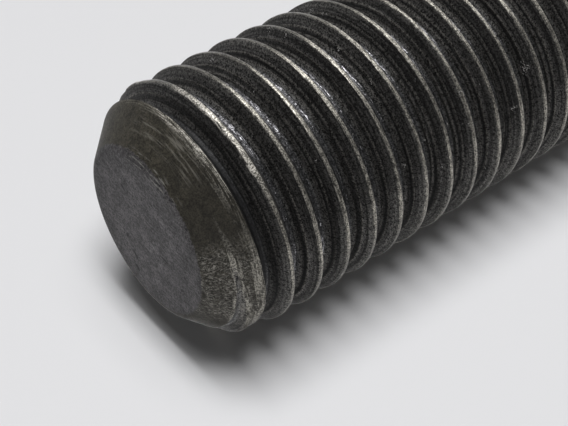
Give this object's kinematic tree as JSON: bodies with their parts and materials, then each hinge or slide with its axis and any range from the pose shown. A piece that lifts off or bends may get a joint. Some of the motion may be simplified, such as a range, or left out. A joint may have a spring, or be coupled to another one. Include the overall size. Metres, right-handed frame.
{
  "type": "double-ended stud bolt",
  "caption": "Round steel stud with a coarse right-hand thread at each end, a plain shank between them and chamfered flat ends, for clamping parts with nuts or for setting in a tapped hole.",
  "frame": {"origin": "centre of the lower end face", "axes": "+Z along the stud's axis, from the lower end to the upper end; the stud stands on its lower end"},
  "size_m": [0.0254, 0.0254, 0.1524],
  "materials": {
    "dark_steel": "dark, slightly oily as-made steel, with bright worn crests on the thread"
  },
  "bodies": {
    "root": {"stud": "dark_steel"}
  },
  "joints": []
}
